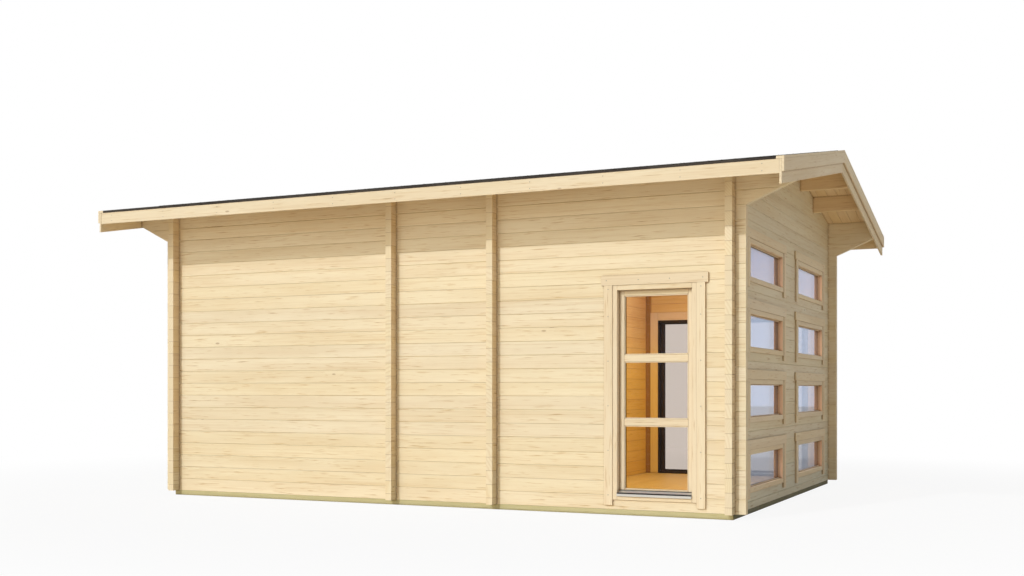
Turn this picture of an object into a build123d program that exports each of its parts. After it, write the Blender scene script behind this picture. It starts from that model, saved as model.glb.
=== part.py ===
import os
from math import cos, radians, tan

from build123d import *

# Log walls: all lengths are in millimetres, +X runs along the ridge and +Z is up
log_course = 114
log_thickness = 58
log_joint = 0.4
log_projection = 87
joint_groove = 7
groove_angle = 45
wall_length = 5486
wall_width = 4000
side_courses = 24
bracket_courses = 3
bracket_rise = 160
gable_courses = 28
half_share = 0.5

# Rooms, counted from the gable with windows, and the doorways between them
right_room_length = 1984
middle_room_length = 920
inner_doorway_width = 800
inner_doorway_courses = 16

# Bearers and floor
bearer_height = 45
bearer_width = 70
bearer_rows = 6
bearer_setback = 12
floor_thickness = 19
floor_gap = 4

# Roof
roof_pitch = 11
eave_underside = 2665
eave_overhang = 545
left_gable_overhang = 440
right_gable_overhang = 498
roof_board = 18
felt_thickness = 3
felt_edge = 20
ridge_cap_width = 300
purlin_width = 58
purlin_height = 145
purlin_inner_offset = 500
purlin_outer_offset = 1130
fascia_height = 104
trim_thickness = 18
barge_height = 180
barge_trim_height = 93
barge_cap_width = 60

# Joinery shared by the windows and the door
casing_width = 70
head_casing_height = 78
casing_horn = 24
casing_drop = 45
frame_face = 40
frame_setback = 6
sash_face = 42
sash_depth = 40
sash_recess = 52
glass_thickness = 20

# Tall window in the back wall
tall_window_to_corner = 651
tall_window_width = 700
tall_window_height = 1728
tall_window_bottom = 123
sill_height = 34
sill_lip = 10
sill_nose = 14

# Small windows in the right gable, two columns of four
small_window_height = 351
small_window_low_height = 350
small_window_margin = 325
small_window_spacing = 426
small_window_rows = 4
small_window_pitch_courses = 5
pane_recess = 40

# Sliding door in the front wall
door_margin = 60
door_top = 1794
door_lining = 30
door_casing_width = 89
door_frame_face = 18
door_rail_width = 8
door_rail_height = 10
panel_thickness = 34
panel_stile = 42
panel_rail = 22
panel_overlap = 50
panel_gap = 14
panel_clearance = 6
roller_diameter = 18
roller_width = 8
roller_gap = 0.3
roller_inset = 120
guide_height = 10
handle_length = 320
handle_width = 22
handle_thickness = 12
handle_standoff = 34
handle_height = 1000
handle_foot = 26

# Places that follow from the sizes
slope = tan(radians(roof_pitch))
back_y = -(wall_width - log_thickness) / 2
front_y = -back_y
wall_middle = (left_gable_overhang - right_gable_overhang) / 2
right_end = wall_middle + wall_length / 2
left_end = wall_middle - wall_length / 2
right_x = right_end - log_thickness / 2
left_x = left_end + log_thickness / 2
right_cross_wall_x = right_x - log_thickness - right_room_length
left_cross_wall_x = right_cross_wall_x - log_thickness - middle_room_length
cross_log_length = wall_width + log_projection * 2
log_height = log_course - log_joint
half_course = log_course * half_share
inner_width = wall_width - log_thickness * 2
eave_y = wall_width / 2 + eave_overhang
ridge_underside = eave_underside + eave_y * slope
roof_top = ridge_underside + eave_y
board_rise = roof_board / cos(radians(roof_pitch))
felt_rise = felt_thickness / cos(radians(roof_pitch))
barge_front_x = (wall_length + left_gable_overhang + right_gable_overhang) / 2
roof_end_x = barge_front_x - barge_cap_width
barge_back_x = barge_front_x - trim_thickness * 2
side_log_length = wall_length + log_projection * 2
frame_depth = log_thickness + (trim_thickness - frame_setback) * 2
bearer_span = (wall_width - bearer_width) / (bearer_rows - 1)
bearer_length = wall_length - bearer_setback * 2
bearer_end = (bearer_length - bearer_width) / 2
floor_top = bearer_height + floor_thickness
purlin_offsets = (-purlin_outer_offset, -purlin_inner_offset, 0, purlin_inner_offset, purlin_outer_offset)
cross_walls_x = (left_x, left_cross_wall_x, right_cross_wall_x, right_x)
long_walls_y = (back_y, front_y)
side_log_bottoms = [bearer_height + log_course * n for n in range(side_courses)]
cross_log_bottoms = [bearer_height + half_course + log_course * n for n in range(gable_courses)]
felt_y = eave_y + felt_thickness
felt_top = board_rise + felt_rise
barge_x = barge_front_x - trim_thickness
inner_doorway_height = cross_log_bottoms[inner_doorway_courses] - log_joint - bearer_height
inner_doorway = (log_thickness, inner_doorway_width, inner_doorway_height)
tall_window_x = right_end - tall_window_to_corner
tall_window = [(tall_window_x, tall_window_bottom + tall_window_height / 2)]
tall_front = wall_width / 2 + trim_thickness - frame_setback
tall_sash_width = tall_window_width - frame_face * 2
tall_sash_height = tall_window_height - frame_face * 2
sill_bottom = tall_window_bottom + frame_face
small_front = right_end + trim_thickness - frame_setback
casing_reach = casing_width + casing_horn
small_window_width = (wall_width - small_window_spacing) / 2 - small_window_margin - casing_reach * 2
small_window_y = (small_window_spacing + small_window_width) / 2 + casing_reach
small_rise = log_course * small_window_pitch_courses
small_window_levels = [small_window_low_height + small_rise * n for n in range(small_window_rows)]
small_windows = [(side * small_window_y, z) for side in (-1, 1) for z in small_window_levels]
door_x = right_cross_wall_x + (log_thickness + right_room_length) / 2
door_width = right_room_length - (door_casing_width + door_margin) * 2
door_depth = log_thickness + trim_thickness * 2
door_sill = floor_top + door_frame_face
door_head = door_top - door_frame_face
door_middle = (floor_top + door_top) / 2
door_clear = door_width - door_frame_face * 2
panel_width = (door_clear + panel_overlap) / 2
fixed_x = door_x - (door_clear - panel_width) / 2
fixed_y = front_y + (panel_thickness + panel_gap) / 2
slide_y = front_y - (panel_thickness + panel_gap) / 2
slide_width = panel_width - panel_clearance
slide_x = door_x + (door_clear - panel_width - panel_clearance) / 2
slide_bottom = door_sill + door_rail_height + panel_clearance
slide_top = door_head - panel_clearance
slide_height = slide_top - slide_bottom
slide_middle = (slide_top + slide_bottom) / 2
roller_z = door_sill + door_rail_height + roller_gap + roller_diameter / 2
handle_x = slide_x + (slide_width - panel_stile) / 2
handle_y = slide_y - panel_thickness / 2
handle_reach = (handle_length - handle_foot) / 2
low, mid, high = Align.MIN, Align.CENTER, Align.MAX


def underside(y):
    return ridge_underside - abs(y) * slope


def cut_by_roof(start, length):
    with BuildSketch(Plane.YZ.offset(start)) as above:
        Polygon(
            (-roof_top, underside(roof_top)),
            (0, ridge_underside),
            (roof_top, underside(roof_top)),
            (roof_top, roof_top),
            (-roof_top, roof_top),
            align=None,
        )
    extrude(above.sketch, amount=length, mode=Mode.SUBTRACT)


def side_logs(y, outward):
    with Locations(*[(wall_middle, y, z) for z in side_log_bottoms[:-bracket_courses]]):
        Box(side_log_length, log_thickness, log_height, align=(mid, mid, low))
    with Locations(*[(0, y, z) for z in side_log_bottoms[-bracket_courses:]]):
        Box(barge_back_x * 2, log_thickness, log_height, align=(mid, mid, low))
    bracket_bottom = side_log_bottoms[-bracket_courses]
    with BuildSketch(Plane.XZ.offset(-y - log_thickness / 2)) as under_brackets:
        for side in (-1, 1):
            Polygon(
                (wall_middle + side * side_log_length / 2, bracket_bottom),
                (side * barge_back_x, bracket_bottom),
                (side * barge_back_x, bracket_bottom + bracket_rise),
                align=None,
            )
    extrude(under_brackets.sketch, amount=log_thickness, mode=Mode.SUBTRACT)
    face = y + outward * log_thickness / 2
    with BuildSketch(Plane.YZ.offset(-barge_back_x)) as grooves:
        with Locations(*[(face, z - log_joint / 2) for z in side_log_bottoms[1:]]):
            Rectangle(joint_groove, joint_groove, rotation=groove_angle)
    extrude(grooves.sketch, amount=barge_back_x * 2, mode=Mode.SUBTRACT)
    with Locations(*[(x, y, z) for x in cross_walls_x for z in side_log_bottoms]):
        Box(log_thickness, log_thickness, half_course, align=(mid, mid, low), mode=Mode.SUBTRACT)
    cut_by_roof(-barge_back_x, barge_back_x * 2)


def cross_logs(x, outward):
    with Locations((x, 0, bearer_height)):
        Box(log_thickness, cross_log_length, half_course - log_joint, align=(mid, mid, low))
    with Locations(*[(x, 0, z) for z in cross_log_bottoms]):
        Box(log_thickness, cross_log_length, log_height, align=(mid, mid, low))
    if outward:
        face = x + outward * log_thickness / 2
        with BuildSketch(Plane.XZ.offset(-cross_log_length / 2)) as grooves:
            with Locations(*[(face, z - log_joint / 2) for z in cross_log_bottoms]):
                Rectangle(joint_groove, joint_groove, rotation=groove_angle)
        extrude(grooves.sketch, amount=cross_log_length, mode=Mode.SUBTRACT)
    with Locations(*[(x, y, z) for y in long_walls_y for z in cross_log_bottoms[:side_courses]]):
        Box(log_thickness, log_thickness, half_course, align=(mid, mid, low), mode=Mode.SUBTRACT)
    cut_by_roof(x - log_thickness / 2, log_thickness)
    with Locations(*[(x, y, underside(y)) for y in purlin_offsets]):
        Box(log_thickness, purlin_width, purlin_height * 2, mode=Mode.SUBTRACT)


def openwork(places, width, height, stile, rail):
    with Locations(*places):
        Rectangle(width, height)
    with Locations(*places):
        Rectangle(width - stile * 2, height - rail * 2, mode=Mode.SUBTRACT)


def casing_boards(places, width, height):
    with Locations(*[(x, z + height / 2) for x, z in places]):
        Rectangle(width + casing_reach * 2, head_casing_height, align=(mid, low))
    reach = (width + casing_width) / 2
    with Locations(*[(x + side * reach, z + height / 2) for x, z in places for side in (-1, 1)]):
        Rectangle(casing_width, height + casing_drop, align=(mid, high))


def door_surround(bottom, width, height, face):
    with Locations((door_x, bottom)):
        Rectangle(width + face * 2, height + face, align=(mid, low))
        Rectangle(width, height, align=(mid, low), mode=Mode.SUBTRACT)


def roof_strip(side, inner, outer, bottom, top):
    Polygon(
        (side * inner, underside(inner) + bottom),
        (side * outer, underside(outer) + bottom),
        (side * outer, underside(outer) + top),
        (side * inner, underside(inner) + top),
        align=None,
    )


# Bearers: long ones under the side walls and the floor, short ones between them under the cross walls
with BuildPart() as long_bearers:
    with Locations((wall_middle, 0)):
        with GridLocations(0, bearer_span, 1, bearer_rows):
            Box(bearer_length, bearer_width, bearer_height, align=(mid, mid, low))

with BuildPart() as cross_bearers:
    for x in (wall_middle - bearer_end, left_cross_wall_x, right_cross_wall_x, wall_middle + bearer_end):
        with Locations((x, 0)):
            with GridLocations(0, bearer_span, 1, bearer_rows - 1):
                Box(bearer_width, bearer_span - bearer_width, bearer_height, align=(mid, mid, low))

# Floor boards of the three rooms
with BuildPart() as floor_boards:
    for start, end in zip(cross_walls_x[:-1], cross_walls_x[1:]):
        room = end - start - log_thickness - floor_gap * 2
        with Locations(((start + end) / 2, 0, bearer_height)):
            Box(room, inner_width - floor_gap * 2, floor_thickness, align=(mid, mid, low))

# Log walls, notched from below where they cross, each wall half a course off its neighbours
with BuildPart() as back_wall:
    side_logs(back_y, -1)
    with Locations((tall_window_x, back_y, tall_window_bottom)):
        Box(tall_window_width, log_thickness, tall_window_height, align=(mid, mid, low), mode=Mode.SUBTRACT)

with BuildPart() as front_wall:
    side_logs(front_y, 1)
    with Locations((door_x, front_y, bearer_height)):
        Box(
            door_width + door_lining * 2,
            log_thickness,
            door_top + door_lining - bearer_height,
            align=(mid, mid, low),
            mode=Mode.SUBTRACT,
        )

with BuildPart() as right_gable_wall:
    cross_logs(right_x, 1)
    with Locations(*[(right_x, y, z) for y, z in small_windows]):
        Box(log_thickness, small_window_width, small_window_height, mode=Mode.SUBTRACT)

with BuildPart() as left_gable_wall:
    cross_logs(left_x, -1)

with BuildPart() as left_cross_wall:
    cross_logs(left_cross_wall_x, 0)
    with Locations((left_cross_wall_x, 0, bearer_height)):
        Box(*inner_doorway, align=(mid, mid, low), mode=Mode.SUBTRACT)

with BuildPart() as right_cross_wall:
    cross_logs(right_cross_wall_x, 0)
    with Locations((right_cross_wall_x, 0, bearer_height)):
        Box(*inner_doorway, align=(mid, mid, low), mode=Mode.SUBTRACT)

# Purlins let into the gables and cross walls, their tops bevelled to the roof
with BuildPart() as purlins:
    with Locations(*[(0, y, underside(y)) for y in purlin_offsets]):
        Box(barge_back_x * 2, purlin_width, purlin_height * 2)
    cut_by_roof(-barge_back_x, barge_back_x * 2)

# Roof boards, felt with its turned-down edge, and the strip over the ridge
with BuildPart() as back_roof_boards:
    with BuildSketch(Plane.YZ.offset(-roof_end_x)):
        roof_strip(-1, 0, eave_y, 0, board_rise)
    extrude(amount=roof_end_x * 2)

with BuildPart() as front_roof_boards:
    with BuildSketch(Plane.YZ.offset(-roof_end_x)):
        roof_strip(1, 0, eave_y, 0, board_rise)
    extrude(amount=roof_end_x * 2)

with BuildPart() as back_roof_felt:
    with BuildSketch(Plane.YZ.offset(-roof_end_x)):
        roof_strip(-1, 0, felt_y, board_rise, felt_top)
        roof_strip(-1, eave_y, felt_y, felt_top - felt_edge, felt_top)
    extrude(amount=roof_end_x * 2)

with BuildPart() as front_roof_felt:
    with BuildSketch(Plane.YZ.offset(-roof_end_x)):
        roof_strip(1, 0, felt_y, board_rise, felt_top)
        roof_strip(1, eave_y, felt_y, felt_top - felt_edge, felt_top)
    extrude(amount=roof_end_x * 2)

with BuildPart() as ridge_felt:
    with BuildSketch(Plane.YZ.offset(-roof_end_x)):
        roof_strip(-1, 0, ridge_cap_width / 2, felt_top, felt_top + felt_rise)
        roof_strip(1, 0, ridge_cap_width / 2, felt_top, felt_top + felt_rise)
    extrude(amount=roof_end_x * 2)

# Fascias along the eaves, barge boards up the gables with a narrower board on each and a cap over both
with BuildPart() as back_fascia:
    with BuildSketch(Plane.YZ.offset(-barge_back_x)):
        roof_strip(-1, eave_y - trim_thickness, eave_y, -fascia_height, 0)
    extrude(amount=barge_back_x * 2)

with BuildPart() as front_fascia:
    with BuildSketch(Plane.YZ.offset(-barge_back_x)):
        roof_strip(1, eave_y - trim_thickness, eave_y, -fascia_height, 0)
    extrude(amount=barge_back_x * 2)

with BuildPart() as back_barge_boards:
    with BuildSketch(Plane.YZ.offset(-barge_x), Plane.YZ.offset(barge_x - trim_thickness)):
        roof_strip(-1, 0, felt_y, -barge_height, 0)
    extrude(amount=trim_thickness)

with BuildPart() as front_barge_boards:
    with BuildSketch(Plane.YZ.offset(-barge_x), Plane.YZ.offset(barge_x - trim_thickness)):
        roof_strip(1, 0, felt_y, -barge_height, 0)
    extrude(amount=trim_thickness)

with BuildPart() as back_barge_trims:
    with BuildSketch(Plane.YZ.offset(-barge_front_x), Plane.YZ.offset(barge_x)):
        roof_strip(-1, 0, felt_y, -barge_trim_height, 0)
    extrude(amount=trim_thickness)

with BuildPart() as front_barge_trims:
    with BuildSketch(Plane.YZ.offset(-barge_front_x), Plane.YZ.offset(barge_x)):
        roof_strip(1, 0, felt_y, -barge_trim_height, 0)
    extrude(amount=trim_thickness)

with BuildPart() as back_barge_caps:
    with BuildSketch(Plane.YZ.offset(-barge_front_x), Plane.YZ.offset(roof_end_x)):
        roof_strip(-1, 0, felt_y, 0, felt_top)
    extrude(amount=barge_cap_width)

with BuildPart() as front_barge_caps:
    with BuildSketch(Plane.YZ.offset(-barge_front_x), Plane.YZ.offset(roof_end_x)):
        roof_strip(1, 0, felt_y, 0, felt_top)
    extrude(amount=barge_cap_width)

# Tall window: frame, sash, glass, casing and a metal drip sill
with BuildPart() as tall_window_frame:
    with BuildSketch(Plane.XZ.offset(tall_front - frame_depth)):
        openwork(tall_window, tall_window_width, tall_window_height, frame_face, frame_face)
    extrude(amount=frame_depth)

with BuildPart() as tall_window_sash:
    with BuildSketch(Plane.XZ.offset(tall_front - sash_recess - sash_depth)):
        openwork(tall_window, tall_sash_width, tall_sash_height, sash_face, sash_face)
    extrude(amount=sash_depth)

with BuildPart() as tall_window_glass:
    with BuildSketch(Plane.XZ.offset(tall_front - sash_recess - (sash_depth + glass_thickness) / 2)):
        with Locations(*tall_window):
            Rectangle(tall_sash_width - sash_face * 2, tall_sash_height - sash_face * 2)
    extrude(amount=glass_thickness)

with BuildPart() as tall_window_casing:
    with BuildSketch(Plane.XZ.offset(wall_width / 2)):
        casing_boards(tall_window, tall_window_width, tall_window_height)
    extrude(amount=trim_thickness)

with BuildPart() as tall_window_sill:
    with BuildSketch(Plane.YZ.offset(tall_window_x - tall_sash_width / 2)):
        Polygon(
            (sash_recess - tall_front, sill_bottom),
            (sash_recess - tall_front, sill_bottom + sill_height),
            (-tall_front - sill_nose, sill_bottom + sill_lip),
            (-tall_front - sill_nose, sill_bottom - sill_lip),
            (-tall_front, sill_bottom - sill_lip),
            (-tall_front, sill_bottom),
            align=None,
        )
    extrude(amount=tall_sash_width)

# Small windows of the right gable: frames, panes and casings
with BuildPart() as small_window_frames:
    with BuildSketch(Plane.YZ.offset(small_front - frame_depth)):
        openwork(small_windows, small_window_width, small_window_height, frame_face, frame_face)
    extrude(amount=frame_depth)

with BuildPart() as small_window_panes:
    with BuildSketch(Plane.YZ.offset(small_front - pane_recess - glass_thickness)):
        with Locations(*small_windows):
            Rectangle(small_window_width - frame_face * 2, small_window_height - frame_face * 2)
    extrude(amount=glass_thickness)

with BuildPart() as small_window_casings:
    with BuildSketch(Plane.YZ.offset(right_end)):
        casing_boards(small_windows, small_window_width, small_window_height)
    extrude(amount=trim_thickness)

# Door: threshold, lining and casings of wood round a dark metal frame with its two rails
with BuildPart() as door_threshold:
    with Locations((door_x, front_y, bearer_height)):
        Box(door_width, log_thickness, floor_thickness, align=(mid, mid, low))

with BuildPart() as door_jamb_lining:
    with BuildSketch(Plane.XZ.offset(-wall_width / 2)):
        door_surround(bearer_height, door_width, door_top - bearer_height, door_lining)
    extrude(amount=log_thickness)

with BuildPart() as door_inner_casing:
    with BuildSketch(Plane.XZ.offset(-inner_width / 2)):
        door_surround(floor_top, door_width, door_top - floor_top, door_casing_width)
    extrude(amount=trim_thickness)

with BuildPart() as door_outer_casing:
    with BuildSketch(Plane.XZ.offset(-wall_width / 2 - trim_thickness)):
        door_surround(floor_top, door_width, door_top - floor_top, door_casing_width)
    extrude(amount=trim_thickness)

with BuildPart() as door_frame:
    with BuildSketch(Plane.XZ.offset(-front_y - door_depth / 2)):
        openwork([(door_x, door_middle)], door_width, door_top - floor_top, door_frame_face, door_frame_face)
    extrude(amount=door_depth)
    with Locations((door_x, slide_y, door_sill)):
        Box(door_clear, door_rail_width, door_rail_height, align=(mid, mid, low))
    with Locations((door_x, slide_y, door_head)):
        Box(door_clear, door_rail_width, guide_height, align=(mid, mid, high))

with BuildPart() as fixed_panel_frame:
    with BuildSketch(Plane.XZ.offset(-fixed_y - panel_thickness / 2)):
        openwork([(fixed_x, door_middle)], panel_width, door_head - door_sill, panel_stile, panel_rail)
    extrude(amount=panel_thickness)

with BuildPart() as fixed_panel_glass:
    with BuildSketch(Plane.XZ.offset(-fixed_y - glass_thickness / 2)):
        with Locations((fixed_x, door_middle)):
            Rectangle(panel_width - panel_stile * 2, door_head - door_sill - panel_rail * 2)
    extrude(amount=glass_thickness)

# Sliding panel on rollers, with a groove in its top for the guide rail
with BuildPart() as sliding_panel_frame:
    with BuildSketch(Plane.XZ.offset(-slide_y - panel_thickness / 2)):
        openwork([(slide_x, slide_middle)], slide_width, slide_height, panel_stile, panel_rail)
    extrude(amount=panel_thickness)
    with Locations((slide_x, slide_y, slide_top)):
        Box(
            slide_width,
            door_rail_width + panel_clearance * 2,
            guide_height,
            align=(mid, mid, high),
            mode=Mode.SUBTRACT,
        )
    with BuildSketch(Plane.XZ.offset(-slide_y - roller_width / 2)):
        with Locations(*[(slide_x + side * (slide_width / 2 - roller_inset), roller_z) for side in (-1, 1)]):
            Circle(roller_diameter / 2)
    extrude(amount=roller_width)

with BuildPart() as sliding_panel_glass:
    with BuildSketch(Plane.XZ.offset(-slide_y - glass_thickness / 2)):
        with Locations((slide_x, slide_middle)):
            Rectangle(slide_width - panel_stile * 2, slide_height - panel_rail * 2)
    extrude(amount=glass_thickness)

with BuildPart() as sliding_panel_handle:
    with Locations((handle_x, handle_y - handle_standoff, handle_height)):
        Box(handle_width, handle_thickness, handle_length, align=(mid, high, mid))
    with Locations(*[(handle_x, handle_y, handle_height + side * handle_reach) for side in (-1, 1)]):
        Box(handle_width, handle_standoff, handle_foot, align=(mid, high, mid))

pieces = {
    "long_bearers": long_bearers,
    "cross_bearers": cross_bearers,
    "floor_boards": floor_boards,
    "back_wall": back_wall,
    "front_wall": front_wall,
    "right_gable_wall": right_gable_wall,
    "left_gable_wall": left_gable_wall,
    "left_cross_wall": left_cross_wall,
    "right_cross_wall": right_cross_wall,
    "purlins": purlins,
    "back_roof_boards": back_roof_boards,
    "front_roof_boards": front_roof_boards,
    "back_roof_felt": back_roof_felt,
    "front_roof_felt": front_roof_felt,
    "ridge_felt": ridge_felt,
    "back_fascia": back_fascia,
    "front_fascia": front_fascia,
    "back_barge_boards": back_barge_boards,
    "front_barge_boards": front_barge_boards,
    "back_barge_trims": back_barge_trims,
    "front_barge_trims": front_barge_trims,
    "back_barge_caps": back_barge_caps,
    "front_barge_caps": front_barge_caps,
    "tall_window_frame": tall_window_frame,
    "tall_window_sash": tall_window_sash,
    "tall_window_glass": tall_window_glass,
    "tall_window_casing": tall_window_casing,
    "tall_window_sill": tall_window_sill,
    "small_window_frames": small_window_frames,
    "small_window_panes": small_window_panes,
    "small_window_casings": small_window_casings,
    "door_threshold": door_threshold,
    "door_jamb_lining": door_jamb_lining,
    "door_inner_casing": door_inner_casing,
    "door_outer_casing": door_outer_casing,
    "door_frame": door_frame,
    "fixed_panel_frame": fixed_panel_frame,
    "fixed_panel_glass": fixed_panel_glass,
    "sliding_panel_frame": sliding_panel_frame,
    "sliding_panel_glass": sliding_panel_glass,
    "sliding_panel_handle": sliding_panel_handle,
}
os.makedirs("parts", exist_ok=True)
for name, piece in pieces.items():
    piece.part.label = name
    export_step(piece.part, "parts/" + name + ".step")
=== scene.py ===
"""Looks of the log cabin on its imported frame: materials, boards, fixings, light and the photo's view."""

import math

import bmesh
import bpy
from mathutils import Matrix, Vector


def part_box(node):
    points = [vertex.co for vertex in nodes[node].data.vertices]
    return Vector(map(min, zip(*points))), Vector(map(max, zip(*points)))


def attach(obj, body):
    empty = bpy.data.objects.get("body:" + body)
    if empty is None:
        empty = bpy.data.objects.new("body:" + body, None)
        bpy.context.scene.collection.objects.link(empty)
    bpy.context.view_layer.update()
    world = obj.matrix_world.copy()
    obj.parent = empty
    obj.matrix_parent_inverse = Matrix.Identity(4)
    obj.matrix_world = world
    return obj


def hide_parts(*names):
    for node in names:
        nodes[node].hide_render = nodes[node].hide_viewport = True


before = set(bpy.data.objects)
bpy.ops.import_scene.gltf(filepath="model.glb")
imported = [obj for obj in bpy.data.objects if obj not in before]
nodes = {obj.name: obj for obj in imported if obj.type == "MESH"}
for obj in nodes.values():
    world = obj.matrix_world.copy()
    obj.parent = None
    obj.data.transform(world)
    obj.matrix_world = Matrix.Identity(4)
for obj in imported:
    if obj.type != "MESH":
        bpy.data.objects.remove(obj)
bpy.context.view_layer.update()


# Places from the frame, in metres
def reach_of(name, axis):
    low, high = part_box(name)
    return low[axis], high[axis]


def middle_of(name):
    return [(a + b) / 2 for a, b in zip(*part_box(name))]


def extent_of(name):
    return [b - a for a, b in zip(*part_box(name))]


X, Y, Z = Vector((1, 0, 0)), Vector((0, 1, 0)), Vector((0, 0, 1))

CROSSING_WALLS = "left_gable_wall", "left_cross_wall", "right_cross_wall", "right_gable_wall"
WALL_SPANS = [reach_of(name, 0) for name in CROSSING_WALLS]
ROOMS = [(left[1], right[0]) for left, right in zip(WALL_SPANS, WALL_SPANS[1:])]
INNER_LEFT, INNER_RIGHT = ROOMS[0][0], ROOMS[-1][1]
INNER_MIDDLE, INNER_HALF = (INNER_LEFT + INNER_RIGHT) / 2, (INNER_RIGHT - INNER_LEFT) / 2
LAST_ROOM_MIDDLE, LAST_ROOM_HALF = sum(ROOMS[-1]) / 2, (ROOMS[-1][1] - ROOMS[-1][0]) / 2
WALL_INNER, WALL_OUTER = reach_of("front_wall", 1)

LOG_COURSE = 0.114
SIDE_JOINT = reach_of("front_wall", 2)[0]
CROSS_JOINT = SIDE_JOINT + LOG_COURSE / 2

PITCH = math.radians(11)
SLOPE = math.tan(PITCH)
EAVE_Y, EAVE_Z = reach_of("front_roof_boards", 1)[1], reach_of("front_roof_boards", 2)[0]
ROOF_END = reach_of("front_roof_boards", 0)[1]
RIDGE = EAVE_Z + EAVE_Y * SLOPE
BOARD_RISE = reach_of("front_roof_boards", 2)[1] - RIDGE
FELT_EDGE = reach_of("front_roof_felt", 1)[1]
FELT_RISE = reach_of("front_roof_felt", 2)[1] - reach_of("front_roof_boards", 2)[1]
BACK_RUN = Vector((0, math.cos(PITCH), math.sin(PITCH)))
FRONT_RUN = Vector((0, -math.cos(PITCH), math.sin(PITCH)))


def underside(y):
    return RIDGE - abs(y) * SLOPE


# Shader helpers
def fresh(name):
    material = bpy.data.materials.new(name)
    material.use_nodes = True
    material.node_tree.nodes.clear()
    return material, material.node_tree


def put(tree, kind, inputs=None, **settings):
    node = tree.nodes.new(kind)
    for key, value in settings.items():
        setattr(node, key, value)
    for key, value in (inputs or {}).items():
        if isinstance(value, bpy.types.NodeSocket):
            tree.links.new(value, node.inputs[key])
        else:
            node.inputs[key].default_value = value
    return node


def calc(tree, operation, a, b=0.0):
    return put(tree, "ShaderNodeMath", {0: a, 1: b}, operation=operation).outputs[0]


def vector(tree, operation, a, b=(0, 0, 0)):
    node = put(tree, "ShaderNodeVectorMath", {0: a, 1: b}, operation=operation)
    return node.outputs["Value"] if operation in ("DOT_PRODUCT", "LENGTH") else node.outputs["Vector"]


def scaled(tree, a, scale):
    return put(tree, "ShaderNodeVectorMath", {0: a, "Scale": scale}, operation="SCALE").outputs["Vector"]


def joined(tree, x, y, z):
    return put(tree, "ShaderNodeCombineXYZ", {"X": x, "Y": y, "Z": z}).outputs[0]


def split(tree, a):
    return put(tree, "ShaderNodeSeparateXYZ", {0: a}).outputs


def remap(tree, value, low, high, to_low=0.0, to_high=1.0):
    """A smooth step from to_low, where value is low, to to_high, where value is high."""
    inputs = {"Value": value, "From Min": low, "From Max": high, "To Min": to_low, "To Max": to_high}
    return put(tree, "ShaderNodeMapRange", inputs, interpolation_type="SMOOTHSTEP").outputs["Result"]


def mixed(tree, share, a, b, blend="MIX"):
    node = put(tree, "ShaderNodeMix", data_type="RGBA", blend_type=blend)
    for socket, value in ((node.inputs[0], share), (node.inputs[6], a), (node.inputs[7], b)):
        if isinstance(value, bpy.types.NodeSocket):
            tree.links.new(value, socket)
        else:
            socket.default_value = value
    return node.outputs[2]


def tinted(tree, share, tone, tint):
    return mixed(tree, share, tone, (*tint, 1.0), "MULTIPLY")


def noise(tree, place, scale, detail=2.0, distortion=0.0):
    inputs = {"Vector": place, "Scale": scale, "Detail": detail, "Distortion": distortion}
    return put(tree, "ShaderNodeTexNoise", inputs).outputs["Fac"]


def here(tree):
    return put(tree, "ShaderNodeTexCoord").outputs["Object"]


def bumped(tree, height, strength, distance):
    return put(tree, "ShaderNodeBump", {"Strength": strength, "Distance": distance, "Height": height})


def colour(red, green, blue):
    """A screen colour, 0 to 255, as a linear one."""

    def linear(value):
        value /= 255
        return value / 12.92 if value <= 0.04045 else ((value + 0.055) / 1.055) ** 2.4

    return linear(red), linear(green), linear(blue), 1.0


def surface(tree, inputs):
    shader = put(tree, "ShaderNodeBsdfPrincipled", inputs)
    put(tree, "ShaderNodeOutputMaterial", {"Surface": shader.outputs[0]})


# Wood. A palette is the pale wood, its deeper streaks and its knots
SPRUCE = colour(240, 227, 198), colour(202, 168, 112), colour(146, 106, 62)
TRIM = colour(238, 223, 194), colour(206, 174, 122), colour(152, 112, 70)
ROOF = colour(244, 218, 174), colour(206, 164, 112), colour(150, 104, 62)
BOARDS = colour(232, 205, 150), colour(200, 160, 100), colour(140, 98, 56)
# Treated wood darkened by painted shade, for the cross bearers and the long bearers' sawn ends
PAINTED_SHADE_TREATED = colour(128, 126, 100), colour(98, 96, 72), colour(70, 64, 46)
TREATED = colour(201, 194, 150), colour(160, 150, 98), colour(112, 98, 60)
PAINTED_WARM_REVEAL_LIGHT = colour(255, 214, 184)

# Tints that multiply the wood's colour, all painted light and shade: warm light indoors, a reflection near
# the ceiling, shade near the ground and bounce light on the crossing log ends
PAINTED_WARM_INDOOR_LIGHT = 0.96, 0.75, 0.2
PAINTED_BRIGHT_INDOOR_LIGHT = 1.12, 0.85, 0.24
PAINTED_SOFT_INDOOR_LIGHT = 0.95, 0.84, 0.34
PAINTED_FLOOR_INDOOR_LIGHT = 0.83, 0.76, 0.38
PAINTED_REFLECTION_NEAR_CEILING = 0.88, 0.94, 2.2
PAINTED_SHADE_NEAR_GROUND = 0.82, 0.91, 1.0
PAINTED_BOUNCE_ON_LOG_ENDS = 1.0, 0.91, 0.82

# Heights and distances that the painted light and shade fade over
SKIN = 0.004
CEILING_REFLECTION_FADE = 1.0, 1.9
GROUND_SHADE_FADE = 0.8, 0.1
WALL_END_FADE = WALL_OUTER - 0.001, WALL_OUTER + 0.003
CORNER_SHADE_FADE = LAST_ROOM_HALF - 0.08, LAST_ROOM_HALF - 0.05
CREVICE_SHADE_REACH = 0.03


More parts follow.
